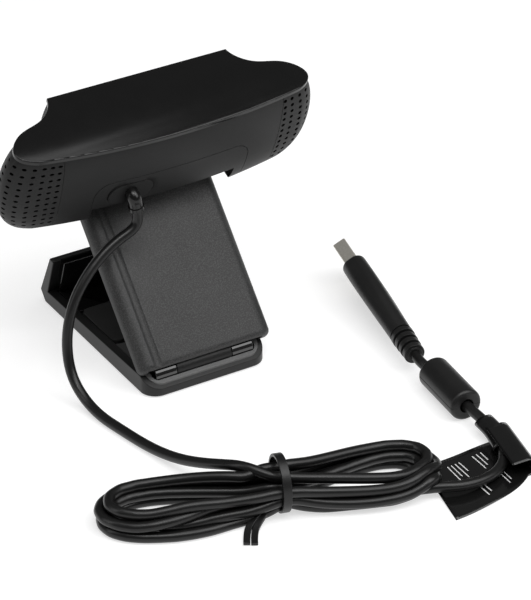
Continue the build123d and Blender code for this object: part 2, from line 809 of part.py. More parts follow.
def build():
    parts = {"top_cover": make_top_cover()}
    parts.update(make_head_shells())
    parts["strain_relief_plate"] = make_strain_relief_plate()
    parts["cable_boot"] = make_cable_boot()
    parts["hinge_housing"] = make_hinge_housing()
    parts["tilt_pin"] = make_tilt_pin()
    parts.update(make_front())
    parts["board_screws"] = make_board_screws()
    parts["arm_cover"] = make_arm_cover()
    parts["arm_frame"] = make_arm_frame()
    parts["arm_screws"] = make_arm_screws()
    parts["fold_pin"] = make_fold_pin()
    parts["friction_washers"] = make_friction_washers()
    parts["base_shell"] = make_base_shell()
    parts["base_cover"] = make_base_cover()
    parts["base_weight"] = make_base_weight()
    parts["base_pad"] = make_base_pad()
    parts["lip_liner"] = make_lip_liner()
    parts["hinge_bed"] = make_hinge_bed()
    parts["hinge_knuckles"] = make_hinge_knuckles()
    parts["hinge_bead"] = make_hinge_bead()
    parts["rubber_feet"] = make_rubber_feet()
    parts["base_screws"] = make_base_screws()
    parts["tripod_insert"] = make_tripod_insert()
    parts.update(make_cables())
    parts["cable_hank"] = make_hank()
    parts["cable_tie"] = make_cable_tie()
    parts["cable_label"] = make_label()
    parts.update(make_ferrite())
    parts.update(make_plug())
    return parts


if __name__ == "__main__":
    write(build())
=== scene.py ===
import math

import bmesh
import bpy
import numpy as np
from mathutils import Matrix, Vector


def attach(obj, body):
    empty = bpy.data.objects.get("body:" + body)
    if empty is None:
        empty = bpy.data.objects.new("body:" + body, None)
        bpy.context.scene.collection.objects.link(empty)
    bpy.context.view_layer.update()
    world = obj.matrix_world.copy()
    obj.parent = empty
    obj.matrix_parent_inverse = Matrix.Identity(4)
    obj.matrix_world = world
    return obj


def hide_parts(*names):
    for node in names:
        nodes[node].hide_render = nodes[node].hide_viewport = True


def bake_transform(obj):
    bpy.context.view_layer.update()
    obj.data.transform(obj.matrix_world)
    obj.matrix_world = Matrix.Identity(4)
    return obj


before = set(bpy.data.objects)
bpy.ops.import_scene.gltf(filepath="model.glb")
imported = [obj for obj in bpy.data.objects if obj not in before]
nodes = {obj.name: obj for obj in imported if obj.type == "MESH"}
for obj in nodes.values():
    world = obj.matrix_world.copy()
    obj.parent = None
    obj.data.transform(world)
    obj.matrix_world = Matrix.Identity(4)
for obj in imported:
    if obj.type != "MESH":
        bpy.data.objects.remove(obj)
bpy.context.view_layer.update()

print("frame loaded:", len(nodes), "nodes")


# The head's grille holes and the cable's start are worked square to the head's own frame, then leant over;
# the arm's leaning frame is given too, though nothing uses it.
headPlace = Matrix.Translation((0, 0.017, 0.0815)) @ Matrix.Rotation(math.radians(-21), 4, "X")
armPlace = Matrix.Translation((0, 0.0299, 0.0054)) @ Matrix.Rotation(math.radians(-47.1), 4, "X")


# helpers for node trees and meshes

def addNode(tree, kind, values=None, **settings):
    made = tree.nodes.new(kind)
    for key, value in settings.items():
        setattr(made, key, value)
    for key, value in (values or {}).items():
        socket = made.inputs[key]
        if isinstance(value, bpy.types.NodeSocket):
            tree.links.new(value, socket)
        else:
            socket.default_value = value
    return made


def startTree(name, kind, inputs, outputs):
    tree = bpy.data.node_groups.new(name, kind)
    for label, socketKind, value in inputs:
        socket = tree.interface.new_socket(label, in_out="INPUT", socket_type=socketKind)
        if value is not None:
            socket.default_value = value
    for label, socketKind in outputs:
        tree.interface.new_socket(label, in_out="OUTPUT", socket_type=socketKind)
    return tree, tree.nodes.new("NodeGroupInput").outputs, tree.nodes.new("NodeGroupOutput").inputs


def evaluated(piece):
    bpy.context.view_layer.update()
    graph = bpy.context.evaluated_depsgraph_get()
    return bpy.data.meshes.new_from_object(piece.evaluated_get(graph))


def meshFromNodes(tree, values, name):
    host = bpy.data.objects.new(name + "Host", bpy.data.meshes.new(name))
    modifier = host.modifiers.new("Nodes", "NODES")
    modifier.node_group = tree
    for item in tree.interface.items_tree:
        if item.item_type == "SOCKET" and item.in_out == "INPUT" and item.name in values:
            modifier[item.identifier] = values[item.name]
    bpy.context.scene.collection.objects.link(host)
    mesh = evaluated(host)
    bpy.data.objects.remove(host)
    mesh.name = name
    return mesh


def place(name, mesh, body, material=None, replaced=()):
    piece = bpy.data.objects.new(name, mesh)
    bpy.context.scene.collection.objects.link(piece)
    if material is not None:
        mesh.materials.clear()
        mesh.materials.append(material)
    if body:
        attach(piece, body)
    if replaced:
        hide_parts(*replaced)
    return piece


def shade(mesh, angle=30):
    mesh.polygons.foreach_set("use_smooth", [True] * len(mesh.polygons))
    mesh.set_sharp_from_angle(angle=math.radians(angle))


def softenEdges(piece, width, segments=2, angle=32):
    modifier = piece.modifiers.new("Bevel", "BEVEL")
    modifier.width = width
    modifier.segments = segments
    modifier.limit_method = "ANGLE"
    modifier.angle_limit = math.radians(angle)
    modifier.harden_normals = True


def mergedCopy(node, flat=0.6):
    work = bmesh.new()
    work.from_mesh(nodes[node].data)
    bmesh.ops.remove_doubles(work, verts=work.verts, dist=2e-6)
    bmesh.ops.dissolve_limit(work, angle_limit=math.radians(flat), verts=work.verts, edges=work.edges)
    mesh = bpy.data.meshes.new(node)
    work.to_mesh(mesh)
    work.free()
    return mesh


# materials

def buildGrainGroup():
    inputs = [
        ("Grain Size", "NodeSocketFloat", 0.0003),
        ("Depth", "NodeSocketFloat", 0.3),
        ("Roughness", "NodeSocketFloat", 0.5),
        ("Roughness Spread", "NodeSocketFloat", 0.1),
    ]
    outputs = [("Roughness", "NodeSocketFloat"), ("Normal", "NodeSocketVector"), ("Grain", "NodeSocketFloat")]
    tree, given, result = startTree("mouldGrain", "ShaderNodeTree", inputs, outputs)
    where = addNode(tree, "ShaderNodeTexCoord").outputs["Object"]
    scale = addNode(tree, "ShaderNodeMath", {0: 1.0, 1: given["Grain Size"]}, operation="DIVIDE")
    fine = addNode(tree, "ShaderNodeTexNoise", {"Vector": where, "Scale": scale.outputs[0], "Detail": 3.0})
    broad = addNode(tree, "ShaderNodeTexNoise", {"Vector": where, "Scale": 90.0, "Detail": 2.0})
    both = addNode(tree, "ShaderNodeMath", {0: fine.outputs["Fac"], 1: broad.outputs["Fac"]}, operation="ADD")
    centred = addNode(tree, "ShaderNodeMath", {0: both.outputs[0], 1: 1.0}, operation="SUBTRACT")
    spread = addNode(
        tree, "ShaderNodeMath",
        {0: centred.outputs[0], 1: given["Roughness Spread"], 2: given["Roughness"]},
        operation="MULTIPLY_ADD", use_clamp=True)
    bump = addNode(
        tree, "ShaderNodeBump",
        {"Height": fine.outputs["Fac"], "Strength": given["Depth"], "Distance": 0.00004})
    tree.links.new(spread.outputs[0], result["Roughness"])
    tree.links.new(bump.outputs["Normal"], result["Normal"])
    tree.links.new(fine.outputs["Fac"], result["Grain"])
    return tree


def buildToneGroup():
    inputs = [
        ("Colour", "NodeSocketColor", (0.03, 0.03, 0.03, 1)),
        ("Speck Colour", "NodeSocketColor", (0.1, 0.1, 0.1, 1)),
        ("Speck Size", "NodeSocketFloat", 0.0004),
        ("Speck Amount", "NodeSocketFloat", 0.1),
        ("Dust Colour", "NodeSocketColor", (0.30, 0.29, 0.28, 1)),
        ("Dust Amount", "NodeSocketFloat", 0.02),
    ]
    tree, given, result = startTree("toneAndDust", "ShaderNodeTree", inputs, [("Colour", "NodeSocketColor")])
    where = addNode(tree, "ShaderNodeTexCoord").outputs["Object"]
    scale = addNode(tree, "ShaderNodeMath", {0: 1.0, 1: given["Speck Size"]}, operation="DIVIDE")
    specks = addNode(tree, "ShaderNodeTexNoise", {"Vector": where, "Scale": scale.outputs[0], "Detail": 1.0})
    contrast = addNode(
        tree, "ShaderNodeMapRange",
        {"Value": specks.outputs["Fac"], "From Min": 0.42, "From Max": 0.68})
    share = addNode(
        tree, "ShaderNodeMath",
        {0: contrast.outputs["Result"], 1: given["Speck Amount"]}, operation="MULTIPLY")
    flecked = addNode(
        tree, "ShaderNodeMix",
        {"Factor": share.outputs[0], "A": given["Colour"], "B": given["Speck Colour"]}, data_type="RGBA")
    up = addNode(
        tree, "ShaderNodeSeparateXYZ",
        {"Vector": addNode(tree, "ShaderNodeNewGeometry").outputs["Normal"]})
    patches = addNode(tree, "ShaderNodeTexNoise", {"Vector": where, "Scale": 160.0, "Detail": 5.0})
    facing = addNode(
        tree, "ShaderNodeMath",
        {0: up.outputs["Z"], 1: patches.outputs["Fac"]}, operation="MULTIPLY", use_clamp=True)
    settled = addNode(
        tree, "ShaderNodeMath",
        {0: facing.outputs[0], 1: given["Dust Amount"]}, operation="MULTIPLY")
    dusty = addNode(
        tree, "ShaderNodeMix",
        {"Factor": settled.outputs[0], "A": flecked.outputs["Result"], "B": given["Dust Colour"]},
        data_type="RGBA")
    tree.links.new(dusty.outputs["Result"], result["Colour"])
    return tree


grainGroup = buildGrainGroup()
toneGroup = buildToneGroup()

finishes = {
    "satinBlack": {"colour": 0.0042, "rough": 0.19, "grain": 0.00025, "depth": 0.05, "shine": 0.34},
    "matteBlack": {"colour": 0.0068, "rough": 0.46, "grain": 0.0003, "depth": 0.15, "shine": 0.24},
    "greyPlastic": {
        "colour": 0.020, "rough": 0.50, "grain": 0.00026, "depth": 0.4, "shine": 0.33,
        "speck": 0.5, "speckColour": 0.070},
    "standPlastic": {
        "colour": 0.0085, "rough": 0.38, "grain": 0.0003, "depth": 0.12, "speck": 0.1, "shine": 0.3},
    "glossBlack": {
        "colour": 0.005, "rough": 0.08, "grain": 0.0004, "depth": 0.02, "spread": 0.04, "coat": 1.0},
    "beadGrey": {"colour": 0.075, "rough": 0.22, "grain": 0.0003, "depth": 0.1},
    "padRubber": {
        "colour": 0.022, "rough": 0.6, "grain": 0.00025, "depth": 0.4, "dust": 0.02, "shine": 0.3},
    "footRubber": {"colour": 0.012, "rough": 0.75, "grain": 0.0003, "depth": 0.4},
    "cableJacket": {
        "colour": 0.0058, "rough": 0.30, "grain": 0.0005, "depth": 0.05, "spread": 0.08, "dust": 0.012,
        "shine": 0.34},
    "plugVinyl": {
        "colour": 0.0075, "rough": 0.38, "grain": 0.0003, "depth": 0.12, "dust": 0.02, "shine": 0.34},
    "labelFilm": {
        "colour": 0.005, "rough": 0.2, "grain": 0.0012, "depth": 0.08, "spread": 0.05, "coat": 0.2},
    "labelInk": {
        "colour": 0.66, "rough": 0.4, "grain": 0.0004, "depth": 0.05, "speck": 0.2, "speckColour": 0.45},
    "tieVinyl": {
        "colour": 0.006, "rough": 0.36, "grain": 0.0004, "depth": 0.1, "dust": 0.01, "shine": 0.35},
    # painted shade: the drilled hole walls get this near-black, rough and dull finish in place of the shade
    # that falls inside the holes
    "paintedHoleShade": {"colour": 0.002, "rough": 0.8, "grain": 0.0003, "depth": 0.0, "shine": 0.1},
    "whitePlastic": {"colour": 0.72, "rough": 0.45, "grain": 0.0004, "depth": 0.08},
    "boardGreen": {
        "colour": 0.06, "tint": (0.25, 1.0, 0.45), "rough": 0.35, "grain": 0.0004, "depth": 0.1},
    "chipDark": {"colour": 0.02, "rough": 0.25, "grain": 0.0004, "depth": 0.05},
    "windowGloss": {
        "colour": 0.004, "rough": 0.06, "grain": 0.002, "depth": 0.0, "spread": 0.02, "coat": 1.0},
    "ferriteGrey": {"colour": 0.05, "rough": 0.55, "grain": 0.0003, "depth": 0.3},
    "nickelShell": {
        "colour": 0.62, "tint": (1.0, 0.96, 0.86), "rough": 0.38,
        "metal": 0.7, "grain": 0.0004, "depth": 0.05},
    "contactGold": {
        "colour": 0.8, "tint": (1.0, 0.76, 0.33), "rough": 0.25,
        "metal": 1.0, "grain": 0.0004, "depth": 0.02},
    "threadBrass": {
        "colour": 0.7, "tint": (1.0, 0.78, 0.4), "rough": 0.35, "metal": 1.0, "grain": 0.0004, "depth": 0.1},
    "zincSteel": {"colour": 0.55, "rough": 0.32, "metal": 1.0, "grain": 0.0004, "depth": 0.1},
    "blackScrew": {"colour": 0.08, "rough": 0.4, "metal": 1.0, "grain": 0.0004, "depth": 0.1},
    "rawSteel": {"colour": 0.22, "rough": 0.55, "metal": 1.0, "grain": 0.0005, "depth": 0.3},
}


def finishMaterial(name, finish):
    material = bpy.data.materials.new(name)
    material.use_nodes = True
    tree = material.node_tree
    shader = tree.nodes["Principled BSDF"]
    grey = finish["colour"]
    colour = [grey * share for share in finish.get("tint", (1, 1, 1))] + [1]
    speck = [finish.get("speckColour", 3 * grey)] * 3 + [1]
    tone = tree.nodes.new("ShaderNodeGroup")
    tone.node_tree = toneGroup
    tone.inputs["Colour"].default_value = colour
    tone.inputs["Speck Colour"].default_value = speck
    tone.inputs["Speck Size"].default_value = 1.4 * finish["grain"]
    tone.inputs["Speck Amount"].default_value = finish.get("speck", 0.05)
    tone.inputs["Dust Amount"].default_value = finish.get("dust", 0.006)
    grain = tree.nodes.new("ShaderNodeGroup")
    grain.node_tree = grainGroup
    grain.inputs["Grain Size"].default_value = finish["grain"]
    grain.inputs["Depth"].default_value = finish["depth"]
    grain.inputs["Roughness"].default_value = finish["rough"]
    grain.inputs["Roughness Spread"].default_value = finish.get("spread", 0.1)
    tree.links.new(tone.outputs["Colour"], shader.inputs["Base Color"])
    tree.links.new(grain.outputs["Roughness"], shader.inputs["Roughness"])
    tree.links.new(grain.outputs["Normal"], shader.inputs["Normal"])
    shader.inputs["Metallic"].default_value = finish.get("metal", 0.0)
    shader.inputs["Coat Weight"].default_value = finish.get("coat", 0.0)
    shader.inputs["Coat Roughness"].default_value = 0.05
    shader.inputs["Specular IOR Level"].default_value = finish.get("shine", 0.4)
    return material


def glassMaterial(name, colour, rough):
    material = bpy.data.materials.new(name)
    material.use_nodes = True
    tree = material.node_tree
    shader = tree.nodes["Principled BSDF"]
    where = addNode(tree, "ShaderNodeTexCoord").outputs["Object"]
    cloud = addNode(tree, "ShaderNodeTexNoise", {"Vector": where, "Scale": 300.0})
    tint = addNode(
        tree, "ShaderNodeMix",
        {"Factor": cloud.outputs["Fac"], "A": colour, "B": [0.9 * share for share in colour[:3]] + [1]},
        data_type="RGBA")
    tree.links.new(tint.outputs["Result"], shader.inputs["Base Color"])
    shader.inputs["Roughness"].default_value = rough
    shader.inputs["Transmission Weight"].default_value = 1.0
    shader.inputs["IOR"].default_value = 1.5
    return material


paint = {name: finishMaterial(name, finish) for name, finish in finishes.items()}
paint["lensGlass"] = glassMaterial("lensGlass", [0.55, 0.6, 0.85, 1], 0.02)
paint["pipeClear"] = glassMaterial("pipeClear", [0.9, 0.93, 1.0, 1], 0.15)

nodeFinish = {
    "strain_relief_plate": "matteBlack", "cable_boot": "satinBlack", "hinge_housing": "matteBlack",
    "tilt_pin": "zincSteel", "front_window": "windowGloss", "lens_ring": "satinBlack",
    "lens_barrel": "satinBlack", "lens_front_glass": "lensGlass", "lens_rear_glass": "lensGlass",
    "lens_holder": "satinBlack", "image_sensor": "chipDark", "main_board": "boardGreen",
    "board_connector": "whitePlastic", "led_light_pipe": "pipeClear", "microphone_left": "zincSteel",
    "microphone_right": "zincSteel", "board_screws": "zincSteel", "arm_frame": "standPlastic",
    "arm_screws": "blackScrew", "friction_washers": "whitePlastic", "fold_pin": "zincSteel",
    "ferrite_core": "ferriteGrey", "usb_tongue": "whitePlastic", "usb_contacts": "contactGold",
    "base_cover": "matteBlack", "base_weight": "rawSteel", "rubber_feet": "footRubber",
    "base_screws": "blackScrew", "tripod_insert": "threadBrass",
}


def paintNodes():
    for node, finish in nodeFinish.items():
        mesh = nodes[node].data
        mesh.materials.clear()
        mesh.materials.append(paint[finish])


paintNodes()
print("materials ready:", len(paint))


# mouldings taken over from the frame, with their edges softened

# Each one: name, body, finish, slot and the width of its softened edges.
mouldings = {
    "top_cover": ("topCover", "head", "satinBlack", "satin_black", 0.0),
    "hinge_cover": ("hingeCover", "head", "matteBlack", "matte_black", 0.00018),
    "rear_shell": ("rearShell", "head", "matteBlack", "matte_black", 0.00018),
    "arm_cover": ("armCover", "arm", "greyPlastic", "grey_plastic", 0.0002),
    "base_shell": ("baseShell", "base", "standPlastic", "stand_plastic", 0.0003),
    "base_pad": ("basePad", "base", "padRubber", "soft_pad", 0.0001),
    "lip_liner": ("lipLiner", "base", "glossBlack", "gloss_black", 0.00025),
    "hinge_bed": ("hingeBed", "base", "glossBlack", "gloss_black", 0.00015),
    "hinge_knuckles": ("hingeKnuckles", "base", "glossBlack", "gloss_black", 0.0002),
    "hinge_bead": ("hingeBead", "base", "beadGrey", "bead_grey", 0.0003),
    "ferrite_jacket_upper": ("ferriteUpper", "arm", "plugVinyl", "plug_black", 0.00015),
    "ferrite_jacket_lower": ("ferriteLower", "arm", "plugVinyl", "plug_black", 0.00015),
    "usb_shell": ("usbShell", "arm", "nickelShell", "nickel", 0.00008),
    "plug_overmold": ("plugBody", "arm", "plugVinyl", "plug_black", 0.0),
    "plug_relief": ("plugRelief", "arm", "plugVinyl", "plug_black", 0.0002),
}


def takeOver(node, moulding):
    name, body, finish, slot, edge = moulding
    mesh = mergedCopy(node)
    shade(mesh)
    piece = place(name, mesh, body, paint[finish], [node])
    if edge:
        softenEdges(piece, edge)
    return piece


moulded = {node: takeOver(node, moulding) for node, moulding in mouldings.items()}
print("mouldings finished:", len(moulded))


# perforated grilles, one round hole pattern and one of short slots

perforations = {
    "grille_left": {
        "name": "grilleLeft", "columns": 7, "rows": 11, "middle": 45.5, "step": 8.75,
        "rowPitch": 0.0025, "top": -0.0162, "holeWide": 0.0015, "holeTall": 0.0009},
    "grille_right": {
        "name": "grilleRight", "columns": 7, "rows": 11, "middle": 134.5, "step": 8.75,
        "rowPitch": 0.0025, "top": -0.0162, "holeWide": 0.0013, "holeTall": 0.0013},
    "front_bezel": {
        "name": "frontBezel", "columns": 3, "rows": 11, "middle": 4.0, "step": 8.75,
        "rowPitch": 0.0025, "top": -0.0162, "holeWide": 0.0015, "holeTall": 0.0009},
}
grilleTurn = {"centreX": 0.034, "centreY": -0.016, "reach": 0.03, "depth": 0.005}


def buildPerforationTree():
    inputs = [
        ("Target", "NodeSocketObject", None),
        ("Columns", "NodeSocketInt", 6),
        ("Rows", "NodeSocketInt", 11),
        ("Middle Angle", "NodeSocketFloat", 0.5),
        ("Angle Step", "NodeSocketFloat", 0.12),
        ("Row Pitch", "NodeSocketFloat", 0.002),
        ("Middle Height", "NodeSocketFloat", -0.0145),
        ("Centre", "NodeSocketVector", None),
        ("Reach", "NodeSocketFloat", 0.03),
        ("Hole Size", "NodeSocketVector", None),
        ("Material", "NodeSocketMaterial", None),
    ]
    outputs = [("Geometry", "NodeSocketGeometry")]
    tree, given, result = startTree("perforations", "GeometryNodeTree", inputs, outputs)

    def maths(operation, first, second=0.0):
        return addNode(tree, "ShaderNodeMath", {0: first, 1: second}, operation=operation).outputs[0]

    wide = maths("MULTIPLY", maths("SUBTRACT", given["Columns"], 1.0), given["Angle Step"])
    tall = maths("MULTIPLY", maths("SUBTRACT", given["Rows"], 1.0), given["Row Pitch"])
    grid = addNode(
        tree, "GeometryNodeMeshGrid",
        {"Size X": wide, "Size Y": tall, "Vertices X": given["Columns"], "Vertices Y": given["Rows"]})
    position = addNode(tree, "GeometryNodeInputPosition").outputs[0]
    at = addNode(tree, "ShaderNodeSeparateXYZ", {"Vector": position})
    angle = maths("ADD", at.outputs["X"], given["Middle Angle"])
    outward = addNode(
        tree, "ShaderNodeCombineXYZ", {"X": maths("COSINE", angle), "Y": maths("SINE", angle)}).outputs[0]
    far = addNode(
        tree, "ShaderNodeVectorMath", {0: outward, "Scale": given["Reach"]}, operation="SCALE").outputs[0]
    height = addNode(
        tree, "ShaderNodeCombineXYZ", {"Z": maths("ADD", at.outputs["Y"], given["Middle Height"])}).outputs[0]
    start = addNode(tree, "ShaderNodeVectorMath", {0: far, 1: height}, operation="ADD").outputs[0]
    start = addNode(tree, "ShaderNodeVectorMath", {0: start, 1: given["Centre"]}, operation="ADD").outputs[0]
    inward = addNode(tree, "ShaderNodeVectorMath", {0: outward, "Scale": -1.0}, operation="SCALE").outputs[0]
    target = addNode(tree, "GeometryNodeObjectInfo", {"Object": given["Target"]})
    hit = addNode(
        tree, "GeometryNodeRaycast",
        {"Target Geometry": target.outputs["Geometry"], "Source Position": start, "Ray Direction": inward,
         "Ray Length": given["Reach"]})
    capture = tree.nodes.new("GeometryNodeCaptureAttribute")
    capture.capture_items.new("VECTOR", "Facing")
    capture.capture_items.new("BOOLEAN", "Found")
    tree.links.new(grid.outputs["Mesh"], capture.inputs["Geometry"])
    tree.links.new(hit.outputs["Hit Normal"], capture.inputs["Facing"])
    tree.links.new(hit.outputs["Is Hit"], capture.inputs["Found"])
    moved = addNode(
        tree, "GeometryNodeSetPosition",
        {"Geometry": capture.outputs["Geometry"], "Position": hit.outputs["Hit Position"]})
    square = addNode(
        tree, "FunctionNodeAlignRotationToVector", {"Vector": capture.outputs["Facing"]}, axis="Z")
    upright = addNode(
        tree, "FunctionNodeAlignRotationToVector",
        {"Rotation": square.outputs[0], "Vector": (0, 0, 1)}, axis="X", pivot_axis="Z")
    drill = addNode(tree, "GeometryNodeMeshCylinder", {"Vertices": 12, "Radius": 0.5, "Depth": 1.0})
    drilled = addNode(
        tree, "GeometryNodeInstanceOnPoints",
        {"Points": moved.outputs["Geometry"], "Selection": capture.outputs["Found"],
         "Instance": drill.outputs["Mesh"], "Rotation": upright.outputs[0], "Scale": given["Hole Size"]})
    solid = addNode(tree, "GeometryNodeRealizeInstances", {"Geometry": drilled.outputs["Instances"]})
    painted = addNode(
        tree, "GeometryNodeSetMaterial",
        {"Geometry": solid.outputs["Geometry"], "Material": given["Material"]})
    tree.links.new(painted.outputs["Geometry"], result["Geometry"])
    return tree


perforationTree = buildPerforationTree()


def perforated(node, pattern):
    side = -1 if math.cos(math.radians(pattern["middle"])) < 0 else 1
    mesh = mergedCopy(node)
    mesh.transform(headPlace.inverted())
    mesh.materials.append(paint["matteBlack"])
    # second slot: the painted hole shade, which the drilled walls take over from the cutters
    mesh.materials.append(paint["paintedHoleShade"])
    shell = bpy.data.objects.new(pattern["name"] + "Blank", mesh)
    bpy.context.scene.collection.objects.link(shell)
    drills = meshFromNodes(perforationTree, {
        "Target": shell, "Columns": pattern["columns"], "Rows": pattern["rows"],
        "Middle Angle": math.radians(pattern["middle"]), "Angle Step": math.radians(pattern["step"]),
        "Row Pitch": pattern["rowPitch"], "Middle Height": pattern["top"],
        "Centre": (side * grilleTurn["centreX"], grilleTurn["centreY"], 0.0), "Reach": grilleTurn["reach"],
        "Hole Size": (pattern["holeTall"], pattern["holeWide"], grilleTurn["depth"]),
        "Material": paint["paintedHoleShade"]}, pattern["name"] + "Drills")
    if node == "front_bezel":
        twin = drills.copy()
        twin.transform(Matrix.Scale(-1, 4, (1, 0, 0)))
        twin.flip_normals()
        drills = joined([drills, twin])
    cutter = bpy.data.objects.new("cutter", drills)
    bpy.context.scene.collection.objects.link(cutter)
    cut = shell.modifiers.new("Drill", "BOOLEAN")
    cut.object = cutter
    cut.solver = "EXACT"
    cut.material_mode = "TRANSFER"
    finished = evaluated(shell)
    bpy.data.objects.remove(shell)
    bpy.data.objects.remove(cutter)
    finished.transform(headPlace)
    shade(finished)
    return place(pattern["name"], finished, "head", None, [node])


def joined(meshes):
    work = bmesh.new()
    for mesh in meshes:
        work.from_mesh(mesh)
    result = bpy.data.meshes.new("joined")
    work.to_mesh(result)
    work.free()
    for material in meshes[0].materials:
        result.materials.append(material)
    return result


for node, pattern in perforations.items():
    piece = perforated(node, pattern)
    print(piece.name, len(piece.data.polygons), "faces")


# the cable, one smooth line from the boot to the plug

cable = {
    "diameter": 0.0034,
    "length": 1.40,
    "bootElbow": (0.0132, 0.0044, -0.0212),
    "bootEnd": (0.0123, 0.0058, -0.0256),
    "firstRun": 0.0042,
    "lead": [
        (0.0136, 0.0133, 0.0485), (0.0189, 0.0130, 0.0463), (0.0252, 0.0135, 0.0428),
        (0.0316, 0.0149, 0.0378), (0.0369, 0.0164, 0.0316), (0.0399, 0.0173, 0.0236),
        (0.0413, 0.0189, 0.0152), (0.0416, 0.0226, 0.0078), (0.0409, 0.0296, 0.0033),
        (0.0400, 0.0382, 0.00175), (0.0382, 0.0476, 0.00175), (0.0362, 0.0576, 0.00175),
        (0.0342, 0.0662, 0.0024), (0.0322, 0.0746, 0.0042), (0.0300, 0.0824, 0.0068),
        (0.0274, 0.0900, 0.0098), (0.0244, 0.0974, 0.0126)],
    "tail": [
        (-0.0260, 0.1262, 0.0040), (-0.0330, 0.1284, 0.0030), (-0.0405, 0.1290, 0.0026),
        (-0.0476, 0.1272, 0.0025), (-0.0538, 0.1222, 0.0026), (-0.0569, 0.1146, 0.0030),
        (-0.0583, 0.1066, 0.0039), (-0.0576, 0.1008, 0.0048), (-0.0572, 0.0956, 0.00535),
        (-0.05805, 0.0852, 0.0054), (-0.0592, 0.0752, 0.0054), (-0.05728, 0.0696, 0.00674),
        (-0.0582, 0.0652, 0.0069)],
    "sides": 14,
}
# Stations along the hank: centre x and y, width, lowest and highest point.
hank = {
    "stations": [
        (0.0600, 0.0900, 0.030, 0.0001, 0.0122), (0.0454, 0.0952, 0.0275, 0.0001, 0.0150),
        (0.0280, 0.1028, 0.0185, 0.0004, 0.0168), (0.0170, 0.1070, 0.0150, 0.0014, 0.0174),
        (0.0050, 0.1090, 0.0190, 0.0006, 0.0170), (-0.0120, 0.1120, 0.030, 0.0001, 0.0154),
        (-0.0235, 0.1139, 0.034, 0.0001, 0.0125)],
    "tieStation": 3,
    "enters": (0.0190, 0.1040, 0.0148),
    # Where each pass sits in the round waist, by its angle, or by a place near the middle.
    "waist": [100, 60, 140, 20, (-0.3, 0.1), (0.3, -0.1), 180, -20, 220, -60, 260],
    "bulge": [0.0100, 0.0130, 0.0090, 0.0120, 0.0095],
    "spread": [0.84, 1.0, 0.80, 1.0, 0.86],
    "bends": 8,
    "smoothing": 0.18,
    "relaxing": 0.012,
    "sinking": 0.00002,
    "pushing": 0.35,
    "clearance": 1.01,
    "nextInLine": 5,
    "tieReach": 0.0035,
    "floorGap": 0.00005,
    "spacing": 0.003,
    "rounds": 220,
}


def hankFrame(index):
    stations = hank["stations"]
    x, y, width, low, high = stations[index]
    after = stations[min(index + 1, len(stations) - 1)]
    before = stations[max(index - 1, 0)]
    along = Vector((after[0] - before[0], after[1] - before[1], 0)).normalized()
    across = Vector((-along.y, along.x, 0))
    return Vector((x, y, (low + high) / 2)), along, across, width / 2, (high - low) / 2


def waistPlace(index):
    spot = hank["waist"][index]
    if isinstance(spot, tuple):
        return spot
    return math.cos(math.radians(spot)), math.sin(math.radians(spot))


def fanPlace(index, turn):
    # Even passes run on the near side and odd ones on the far side, each turn a layer lower.
    side = 1 if index % 2 else -1
    layers = len(hank["bulge"]) - 1
    return side * hank["spread"][turn], 1 - 2 * turn / layers


def strand(index, station):
    u, v = waistPlace(index)
    leftTurn = max((index - 1) // 2, 0)
    rightTurn = min(index // 2, len(hank["bulge"]) - 1)
    away = abs(station - hank["tieStation"]) / hank["tieStation"]
    away = away * away * (3 - 2 * away)
    fanU, fanV = fanPlace(index, leftTurn if station < hank["tieStation"] else rightTurn)
    centre, along, across, halfWide, halfTall = hankFrame(station)
    room = cable["diameter"] / 2
    sideways = (u + (fanU - u) * away) * (halfWide - room)
    rise = (v + (fanV - v) * away) * (halfTall - room)
    return centre + across * sideways + Vector((0, 0, rise)), along


def turnBack(start, end, away, bulge):
    middle = (start + end) / 2
    points = []
    for step in range(1, hank["bends"] + 1):
        angle = math.pi * step / (hank["bends"] + 1)
        swing = (start - middle) * math.cos(angle)
        points.append(middle + swing + away * bulge * math.sin(angle))
    return points


def hankLine():
    last = len(hank["stations"]) - 1
    passes = len(hank["waist"])
    line = [Vector(hank["enters"])]
    for index in range(passes):
        going = list(range(last + 1)) if index % 2 == 0 else list(range(last, -1, -1))
        if index == 0:
            going = going[hank["tieStation"] + 1:]
        if index == passes - 1:
            going = going[:last]
        run = [strand(index, station) for station in going]
        line += [point for point, along in run]
        if index < passes - 1:
            nextPoint, along = strand(index + 1, going[-1])
            away = along if index % 2 == 0 else -along
            line += turnBack(line[-1], nextPoint, away, hank["bulge"][index // 2])
    return line


def evenly(points, spacing):
    points = np.array([tuple(point) for point in points])
    steps = np.linalg.norm(np.diff(points, axis=0), axis=1)
    reach = np.concatenate([[0], np.cumsum(steps)])
    marks = np.linspace(0, reach[-1], int(round(reach[-1] / spacing)) + 1)
    return np.stack([np.interp(marks, reach, points[:, axis]) for axis in range(3)], axis=1)


